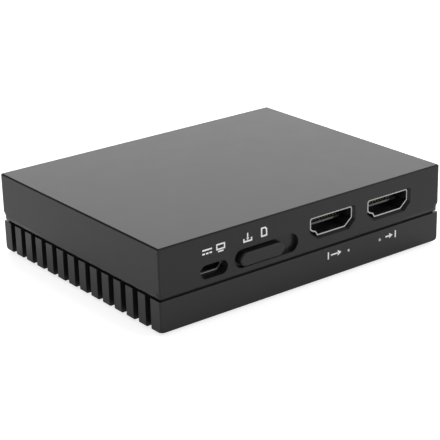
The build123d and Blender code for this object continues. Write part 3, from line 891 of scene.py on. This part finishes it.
for sleeve, node in ((out_sleeve, "out_socket_shell"), (in_sleeve, "in_socket_shell")):
    centre = middle(node)
    paint_shade(sleeve, [face for face in sleeve.data.polygons if is_inner(face, centre)])

# %% [markdown]
# The upper walls of the small sleeve lie in the shade of the opening's edge. They get the darker finish
# too, which is painted shade, and so its mouth shows one thin light line along the lower lip. The rim is
# one ring of a face, from top to bottom, so a face counts as an upper one only where its lowest corner is
# high up.

# %% Paint shade on the upper walls of the small sleeve
SHADE_PAINT_HEIGHT = 2.0 * MM

# Faces wholly above this height get the painted shade.
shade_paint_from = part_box("power_socket_shell")[1].z - SHADE_PAINT_HEIGHT
points = power_sleeve.data.vertices
upper_faces = [face for face in power_sleeve.data.polygons
               if min(points[i].co.z for i in face.vertices) > shade_paint_from]
paint_shade(power_sleeve, upper_faces)

# %% [markdown]
# ## Pieces that repeat
#
# Screws, contact blades and the small capacitors come in rows, so Geometry Nodes make them: one tree
# for each kind, with its sizes as named inputs. Its copies are made real at the end, because an
# instance is not yet a mesh, and there they get their finish.

# %% Helpers that start and end a tree


def new_tree(name, **sizes):
    """Geometry tree with places, named sizes and a finish as inputs, and its input node."""
    tree = bpy.data.node_groups.new(name, "GeometryNodeTree")
    tree.interface.new_socket("Places", in_out="INPUT", socket_type="NodeSocketGeometry")
    tree.interface.new_socket("Result", in_out="OUTPUT", socket_type="NodeSocketGeometry")
    for label, kind in sizes.items():
        tree.interface.new_socket(label.replace("_", " "), in_out="INPUT", socket_type="NodeSocket" + kind)
    tree.interface.new_socket("Finish", in_out="INPUT", socket_type="NodeSocketMaterial")
    return tree, add(tree, "NodeGroupInput")


def painted(tree, shape, finish):
    """Shape with a finish."""
    return add(tree, "GeometryNodeSetMaterial", Geometry=shape, Material=finish).outputs[0]


def finish_tree(tree, given, shape):
    """Realize the instances, give them the finish and end the tree."""
    real = add(tree, "GeometryNodeRealizeInstances", Geometry=shape)
    tree.links.new(painted(tree, real.outputs[0], given.outputs["Finish"]),
                   add(tree, "NodeGroupOutput").inputs[0])


print("a tree can be started and ended")

# %% [markdown]
# In between, a tree moves shapes, joins them and sets copies at points. Each of these steps is one
# node, and gets a short name here.

# %% Helpers for the steps of a tree


def vector(tree, **parts):
    """Vector from sockets or numbers for some of X, Y and Z."""
    return add(tree, "ShaderNodeCombineXYZ", **parts).outputs[0]


def moved(tree, shape, offset):
    """Shape moved by a vector."""
    return add(tree, "GeometryNodeTransform", Geometry=shape, Translation=offset).outputs[0]


def joined(tree, *shapes):
    """Several shapes as one."""
    join = add(tree, "GeometryNodeJoinGeometry")
    for shape in shapes:
        tree.links.new(shape, join.inputs[0])
    return join.outputs[0]


def set_at(tree, points, shape):
    """A copy of a shape at each point."""
    return add(tree, "GeometryNodeInstanceOnPoints", Points=points, Instance=shape).outputs[0]


print("shape helpers are ready")

# %% [markdown]
# A tree is run on a carrier object whose points are the places, and its result is taken as one plain
# mesh with broken edges. An input is set by its identifier, because its name is only a label.

# %% A helper that runs a tree


def run_tree(tree, name, node, places, edge, **values):
    """Plain mesh that a tree makes at some places, with broken edges, in place of a CAD node."""
    mesh = bpy.data.meshes.new(name + "_places")
    mesh.from_pydata(places, [], [])
    carrier = put_in_scene(name + "_carrier", mesh)
    maker = carrier.modifiers.new("maker", "NODES")
    maker.node_group = tree
    values["Finish"] = finishes[subparts[node]]
    for item in tree.interface.items_tree:
        label = item.name.replace(" ", "_")
        if item.in_out == "INPUT" and label in values:
            maker[item.identifier] = values[label]
    break_edges(carrier, edge)
    piece = plain_mesh(carrier, name)
    smooth_by_angle(piece.data)
    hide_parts(node)
    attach(piece, body_of(nodes[node])[0])
    print(name, "places:", len(places), "faces:", len(piece.data.polygons))
    return piece


print("a tree gives one plain mesh")

# %% [markdown]
# The places come from the solids of the CAD node that a piece stands for. Its merged mesh falls into
# as many islands as it has solids, and the box of each island gives a place and a size. The boxes
# are sorted by place, so that each run gives them in the same order.

# %% A helper that finds the solids of a node


def solids_of(node):
    """Lowest and highest corners of each separate solid of a node."""
    shape = bmesh.new()
    shape.from_mesh(nodes[node].data)
    bmesh.ops.remove_doubles(shape, verts=shape.verts, dist=MERGE_WITHIN)
    left = set(shape.verts)
    boxes = []
    while left:
        reach = [left.pop()]
        found = []
        while reach:
            vertex = reach.pop()
            found.append(vertex.co.copy())
            near = [e.other_vert(vertex) for e in vertex.link_edges]
            near = [v for v in near if v in left]
            left.difference_update(near)
            reach.extend(near)
        boxes.append((Vector([min(c[i] for c in found) for i in range(3)]),
                      Vector([max(c[i] for c in found) for i in range(3)])))
    shape.free()
    return sorted(boxes, key=lambda box: tuple(box[0]))


screw_boxes = solids_of("housing_screws")
capacitor_boxes = solids_of("ceramic_capacitors")
print("screws:", len(screw_boxes), "capacitors:", len(capacitor_boxes))

# %% [markdown]
# A housing screw has a flat head with a six-sided socket and a thread along its shank. The head is a
# cylinder with a prism cut out of it. The thread is a small triangle swept along a spiral, which is
# far lighter than cutting a real thread, and it runs only where the cover's pad holds it.

# %% Build the screw's tree
SHANK_SHARE = 0.84
SPIRAL_SHARE = 0.86
TOOTH_SHARE = 0.14
THREAD_ROOM = 1.04

tree, given = new_tree("socket_screw", Head_Radius="Float", Head_Height="Float", Key_Radius="Float",
                       Key_Depth="Float", Shank_Radius="Float", Shank_Length="Float",
                       Thread_Pitch="Float", Thread_Turns="Float")
size = given.outputs
head = add(tree, "GeometryNodeMeshCylinder", Vertices=40, Radius=size["Head Radius"],
           Depth=size["Head Height"])
key = add(tree, "GeometryNodeMeshCylinder", Vertices=6, Radius=size["Key Radius"],
          Depth=number(tree, "MULTIPLY", size["Key Depth"], 2))
half_head = number(tree, "MULTIPLY", size["Head Height"], 0.5)
cut_head = add(tree, "GeometryNodeMeshBoolean", operation="DIFFERENCE", Mesh_2=key.outputs[0],
               Mesh_1=moved(tree, head.outputs[0], vector(tree, Z=half_head)))
shank = add(tree, "GeometryNodeMeshCylinder", Vertices=24, Depth=size["Shank Length"],
            Radius=number(tree, "MULTIPLY", size["Shank Radius"], SHANK_SHARE))
half_shank = number(tree, "MULTIPLY", size["Shank Length"], 0.5)
shank_place = vector(tree, Z=number(tree, "ADD", size["Head Height"], half_shank))
core = number(tree, "MULTIPLY", size["Shank Radius"], SPIRAL_SHARE)
thread_length = number(tree, "MULTIPLY", size["Thread Turns"], size["Thread Pitch"])
spiral = add(tree, "GeometryNodeCurveSpiral", Resolution=24, Start_Radius=core, End_Radius=core,
             Rotations=size["Thread Turns"], Height=thread_length)
tooth = add(tree, "GeometryNodeCurvePrimitiveCircle", Resolution=3,
            Radius=number(tree, "MULTIPLY", size["Shank Radius"], TOOTH_SHARE))
thread = add(tree, "GeometryNodeCurveToMesh", Curve=spiral.outputs[0], Profile_Curve=tooth.outputs[0],
             Fill_Caps=True)
whole = number(tree, "ADD", size["Head Height"], size["Shank Length"])
thread_start = number(tree, "SUBTRACT", whole, number(tree, "MULTIPLY", thread_length, THREAD_ROOM))
screw = joined(tree, cut_head.outputs[0], moved(tree, shank.outputs[0], shank_place),
               moved(tree, thread.outputs[0], vector(tree, Z=thread_start)))
finish_tree(tree, given, set_at(tree, size["Places"], screw))
print("nodes in the screw's tree:", len(tree.nodes))

# %% [markdown]
# The screws stand head down under the base, so the lowest point of each CAD screw is its place, and
# its box gives the head's radius and the whole length.

# %% Set the screws
HEAD_HEIGHT = 1.6 * MM

screw_span = screw_boxes[0][1] - screw_boxes[0][0]
screw_places = [((low.x + high.x) / 2, (low.y + high.y) / 2, low.z) for low, high in screw_boxes]
run_tree(tree, "socket_screws", "housing_screws", screw_places, edge=0.12 * MM,
         Head_Radius=screw_span.x / 2, Head_Height=HEAD_HEIGHT, Key_Radius=1.15 * MM,
         Key_Depth=1.0 * MM, Shank_Radius=1.25 * MM, Shank_Length=screw_span.z - HEAD_HEIGHT,
         Thread_Pitch=0.45 * MM, Thread_Turns=14.0)

# %% [markdown]
# The contacts of a socket are thin blades in one or two rows on its tongue. The tree counts them off
# along a line that is centred on the tongue, so that a changed pitch keeps the row in the middle.

# %% Build the tree of the contact blades
tree, given = new_tree("contact_rows", Upper_Count="Int", Lower_Count="Int", Pitch="Float",
                       Row_Spacing="Float", Blade_Width="Float", Blade_Length="Float",
                       Blade_Thickness="Float")
size = given.outputs
blade_size = vector(tree, X=size["Blade Width"], Y=size["Blade Length"], Z=size["Blade Thickness"])
blade = add(tree, "GeometryNodeMeshCube", Size=blade_size)
rows = []
for label, side in (("Upper Count", 0.5), ("Lower Count", -0.5)):
    gaps = number(tree, "SUBTRACT", size[label], 1)
    start_x = number(tree, "MULTIPLY", number(tree, "MULTIPLY", gaps, -0.5), size["Pitch"])
    level = number(tree, "MULTIPLY", size["Row Spacing"], side)
    line = add(tree, "GeometryNodeMeshLine", mode="OFFSET", Count=size[label],
               Start_Location=vector(tree, X=start_x, Z=level), Offset=vector(tree, X=size["Pitch"]))
    rows.append(set_at(tree, line.outputs[0], blade.outputs[0]))
finish_tree(tree, given, set_at(tree, size["Places"], joined(tree, *rows)))
print("rows of blades:", len(rows))

# %% [markdown]
# The two video sockets have 10 blades over the tongue and 9 under it. The small socket has 5, all
# under its tongue. Their length and the spacing of the rows come from the CAD node's box.

# %% Set the contact blades


def set_blades(node, name, counts, pitch, width, thickness, drop=0.0):
    """Rows of blades in the middle of a CAD node's box, with the pitch and the blade's sizes in mm."""
    low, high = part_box(node)
    run_tree(tree, name, node, [(low + high) / 2 - Vector((0, 0, drop))], edge=0.02 * MM,
             Upper_Count=counts[0], Lower_Count=counts[1], Pitch=pitch * MM,
             Row_Spacing=high.z - low.z - thickness * MM, Blade_Width=width * MM,
             Blade_Length=high.y - low.y, Blade_Thickness=thickness * MM)


set_blades("out_socket_contacts", "out_socket_blades", (10, 9), pitch=1.0, width=0.45, thickness=0.12,
           drop=TONGUE_DROP)
set_blades("in_socket_contacts", "in_socket_blades", (10, 9), pitch=1.0, width=0.45, thickness=0.12,
           drop=TONGUE_DROP)
set_blades("power_socket_contacts", "power_socket_blades", (0, 5), pitch=0.65, width=0.35, thickness=0.1)

# %% [markdown]
# A ceramic capacitor is a fired block with a tinned cap at each end. Block and caps are three boxes,
# and the caps stand a hair proud of the block, as the dipped metal does. Each gets its finish before
# the copies are made, because the two differ.

# %% Make the ceramic capacitors
tree, given = new_tree("chip_capacitor", Length="Float", Width="Float", Height="Float",
                       Cap_Length="Float", Cap_Proud="Float", Cap_Finish="Material")
size = given.outputs
bare_length = number(tree, "SUBTRACT", size["Length"], size["Cap Length"])
block = add(tree, "GeometryNodeMeshCube",
            Size=vector(tree, X=size["Width"], Y=bare_length, Z=size["Height"]))
cap_width = number(tree, "ADD", size["Width"], size["Cap Proud"])
cap_height = number(tree, "ADD", size["Height"], size["Cap Proud"])
cap = add(tree, "GeometryNodeMeshCube",
          Size=vector(tree, X=cap_width, Y=size["Cap Length"], Z=cap_height))
reach = number(tree, "MULTIPLY", bare_length, 0.5)
ends = joined(tree, moved(tree, cap.outputs[0], vector(tree, Y=reach)),
              moved(tree, cap.outputs[0], vector(tree, Y=number(tree, "MULTIPLY", reach, -1))))
whole = joined(tree, painted(tree, block.outputs[0], size["Finish"]),
               painted(tree, ends, size["Cap Finish"]))
real = add(tree, "GeometryNodeRealizeInstances", Geometry=set_at(tree, size["Places"], whole))
tree.links.new(real.outputs[0], add(tree, "NodeGroupOutput").inputs[0])

span = capacitor_boxes[0][1] - capacitor_boxes[0][0]
capacitor_places = [(low + high) / 2 for low, high in capacitor_boxes]
run_tree(tree, "chip_capacitors", "ceramic_capacitors", capacitor_places, edge=0.03 * MM,
         Length=span.y, Width=span.x, Height=span.z, Cap_Length=0.35 * MM, Cap_Proud=0.03 * MM,
         Cap_Finish=finishes["switch_steel"])

# %% [markdown]
# ## Signs on the front
#
# A sign is drawn as pen strokes in the plane of the front: a list of points and the width of the pen.
# Where a stroke turns, both its sides meet on the line that halves the corner, as in a mitred frame.

# %% A pen that draws strokes
MITRE_LIMIT = 0.3


def pen_stroke(points, pen, closed=False):
    """Outlines of a stroke with mitred corners, as quads in the plane of the front."""
    points = [Vector(p) for p in points]
    count = len(points)
    sides = []
    for i, point in enumerate(points):
        before = points[i - 1] if (i > 0 or closed) else None
        after = points[(i + 1) % count] if (i < count - 1 or closed) else None
        incoming = (point - before).normalized() if before is not None else None
        outgoing = (after - point).normalized() if after is not None else None
        incoming = incoming or outgoing
        outgoing = outgoing or incoming
        along = (incoming + outgoing).normalized()
        across = Vector((-along.y, along.x))
        reach = pen / 2 / max(MITRE_LIMIT, across.dot(Vector((-incoming.y, incoming.x))))
        sides.append((point + across * reach, point - across * reach))
    last = count if closed else count - 1
    return [(sides[i][0], sides[i][1], sides[(i + 1) % count][1], sides[(i + 1) % count][0])
            for i in range(last)]


print("the pen draws quads")

# %% [markdown]
# The signs are printed in a pale ink. A print has a thickness of its own, about a hundredth of a
# millimetre, so each sign is a thin closed solid with its back sunk in the face: its quads, a copy of
# them in front, and a wall along each edge that belongs to one quad only.

# %% A helper that prints a sign
INK_PROUD = 0.015 * MM
INK_SUNK = 0.03 * MM
INK_RISE = Vector((0, INK_PROUD + INK_SUNK, 0))
STROKES_MEET = 0.001 * MM
ink = grained("pale_ink", (0.82, 0.82, 0.82), (0.92, 0.92, 0.92), (0.5, 0.62), grain=0.06, height=0.003)


def print_sign(name, quads):
    """Thin closed solid from quads given in millimetres across and up the front face."""
    shape = bmesh.new()
    for quad in quads:
        shape.faces.new([shape.verts.new((p.x * MM, front_y + INK_SUNK, p.y * MM)) for p in quad])
    bmesh.ops.remove_doubles(shape, verts=shape.verts, dist=STROKES_MEET)
    rim = [edge.verts[:] for edge in shape.edges if edge.is_boundary]
    backs = shape.faces[:]
    outer = {point: shape.verts.new(point.co - INK_RISE) for point in shape.verts[:]}
    for back in backs:
        shape.faces.new([outer[point] for point in back.verts])
    for first, second in rim:
        shape.faces.new((first, second, outer[second], outer[first]))
    bmesh.ops.recalc_face_normals(shape, faces=shape.faces)
    mesh = bpy.data.meshes.new(name)
    shape.to_mesh(mesh)
    shape.free()
    mesh.materials.append(ink)
    sign = put_in_scene(name, mesh)
    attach(sign, housing)
    print(name, "quads:", len(quads))


print("ink stands", INK_PROUD / MM, "mm proud")

# %% [markdown]
# The signs themselves are generic. Over the small socket stand a direct-current sign, which is a line
# over three dashes, and a screen on its foot. All their sizes are in millimetres.

# %% Draw the signs over the small socket
PEN = 0.42
THIN_PEN = PEN * 0.9
SIGN_LEVEL = 18.85
LINE_RISE, LINE_LENGTH = 0.45, 3.0
DASH_DROP, DASH_LENGTH, DASH_PITCH = 0.5, 0.8, 1.1
FOOT_DROP, FOOT_LENGTH = 0.95, 1.7
power_x = middle("power_socket_shell").x / MM


def bar(x, z, width_mm, height_mm):
    """Rectangle round a place as one quad."""
    half_w, half_h = width_mm / 2, height_mm / 2
    return [tuple(Vector((x + sx * half_w, z + sz * half_h))
                  for sx, sz in ((-1, -1), (-1, 1), (1, 1), (1, -1)))]


line_x = power_x - 2.0
direct_current = bar(line_x, SIGN_LEVEL + LINE_RISE, LINE_LENGTH, PEN)
for step in (-1, 0, 1):
    direct_current += bar(line_x + step * DASH_PITCH, SIGN_LEVEL - DASH_DROP, DASH_LENGTH, PEN)
print_sign("direct_current_sign", direct_current)

screen_left, screen_right = power_x + 1.0, power_x + 3.4
screen_low, screen_high = SIGN_LEVEL - 0.35, SIGN_LEVEL + 0.9
foot_x = power_x + 2.2
screen = pen_stroke([(screen_left, screen_low), (screen_left, screen_high),
                     (screen_right, screen_high), (screen_right, screen_low)], THIN_PEN, closed=True)
print_sign("screen_sign", screen + bar(foot_x, SIGN_LEVEL - FOOT_DROP, FOOT_LENGTH, THIN_PEN))

# %% [markdown]
# Over the switch stand a tray with an arrow into it and a card with one corner cut off.

# %% Draw the signs over the switch
TRAY_X = -20.05
TRAY_HALF = 1.23
TRAY_FLOOR, TRAY_RIM = 18.27, 19.08
SHAFT_LEVEL, SHAFT_LENGTH = 19.7, 1.5
TIP_LEVEL, TIP_SIZE = 18.45, 0.75
CARD_X = -14.75
CARD_HALF = 0.8
CARD_LOW, CARD_HIGH = 18.32, 20.46
CARD_CUT_X, CARD_CUT_LEVEL = 0.35, 20.0
HEAD_SPREAD = 0.6


def arrow_head(x, z, size, turn_x, turn_z):
    """Filled triangle with its tip at a place."""
    along = Vector((turn_x, turn_z)).normalized()
    across = Vector((-along.y, along.x))
    tip = Vector((x, z))
    foot = tip - along * size
    return [(tip, foot + across * size * HEAD_SPREAD, foot, foot - across * size * HEAD_SPREAD)]


tray = pen_stroke([(TRAY_X - TRAY_HALF, TRAY_RIM), (TRAY_X - TRAY_HALF, TRAY_FLOOR),
                   (TRAY_X + TRAY_HALF, TRAY_FLOOR), (TRAY_X + TRAY_HALF, TRAY_RIM)], PEN)
shaft = bar(TRAY_X, SHAFT_LEVEL, THIN_PEN, SHAFT_LENGTH)
print_sign("save_sign", tray + shaft + arrow_head(TRAY_X, TIP_LEVEL, TIP_SIZE, turn_x=0, turn_z=-1))

card = [(CARD_X - CARD_HALF, CARD_LOW), (CARD_X - CARD_HALF, CARD_HIGH),
        (CARD_X + CARD_CUT_X, CARD_HIGH), (CARD_X + CARD_HALF, CARD_CUT_LEVEL),
        (CARD_X + CARD_HALF, CARD_LOW)]
print_sign("card_sign", pen_stroke(card, PEN, closed=True))

# %% [markdown]
# Under each of the two large sockets stands an arrow with a bar: one leaves its bar, for the way out,
# and the other meets it, for the way in.

# %% Draw the signs under the large sockets
PORT_SIGN_LEVEL = 6.95
BAR_HEIGHT = 2.0
ARROW_SIZE = 1.3


def port_sign(name, bar_x, shaft_x, shaft_length, tip_x):
    """Arrow to the right with an upright bar."""
    upright = bar(bar_x, PORT_SIGN_LEVEL, PEN, BAR_HEIGHT)
    shaft = bar(shaft_x, PORT_SIGN_LEVEL, shaft_length, PEN)
    print_sign(name, upright + shaft + arrow_head(tip_x, PORT_SIGN_LEVEL, ARROW_SIZE, 1, 0))


port_sign("leaving_sign", bar_x=6.9, shaft_x=9.1, shaft_length=2.6, tip_x=11.5)
port_sign("meeting_sign", bar_x=31.2, shaft_x=28.3, shaft_length=1.6, tip_x=30.2)
